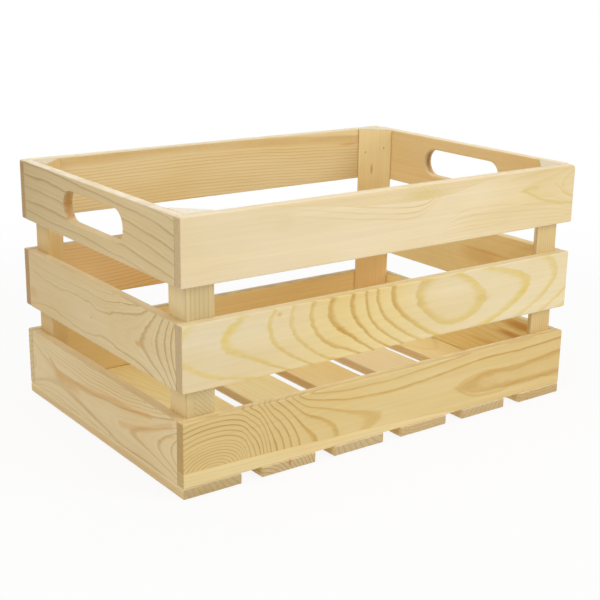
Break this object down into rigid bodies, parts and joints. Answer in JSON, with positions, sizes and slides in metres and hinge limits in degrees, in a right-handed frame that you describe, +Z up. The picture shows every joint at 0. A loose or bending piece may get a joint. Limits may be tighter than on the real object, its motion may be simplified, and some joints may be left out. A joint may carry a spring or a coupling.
{
  "type": "wooden crate",
  "caption": "Open slatted pine crate with a slatted floor, triangular corner posts inside and a hand slot through the top board of each end, for picking, carrying and storing.",
  "frame": {"origin": "centre of the footprint, on the underside of the floor slats", "axes": "+X along the length towards the right end, +Y to the back, +Z up"},
  "size_m": [0.46, 0.311, 0.244],
  "materials": {
    "pine_board": "planed and sanded, bare",
    "pine_post": "sawn and sanded, bare",
    "pine_slat": "planed and sanded, bare",
    "brad_wire": "galvanised"
  },
  "bodies": {
    "root": {"front_bottom_board": "pine_board", "front_middle_board": "pine_board", "front_top_board": "pine_board", "back_bottom_board": "pine_board", "back_middle_board": "pine_board", "back_top_board": "pine_board", "left_bottom_board": "pine_board", "left_middle_board": "pine_board", "left_handle_board": "pine_board", "right_bottom_board": "pine_board", "right_middle_board": "pine_board", "right_handle_board": "pine_board", "front_left_post": "pine_post", "front_right_post": "pine_post", "back_left_post": "pine_post", "back_right_post": "pine_post", "floor_slat_1": "pine_slat", "floor_slat_2": "pine_slat", "floor_slat_3": "pine_slat", "floor_slat_4": "pine_slat", "floor_slat_5": "pine_slat", "floor_slat_6": "pine_slat", "post_brads": "brad_wire", "floor_brads": "brad_wire"}
  },
  "joints": []
}
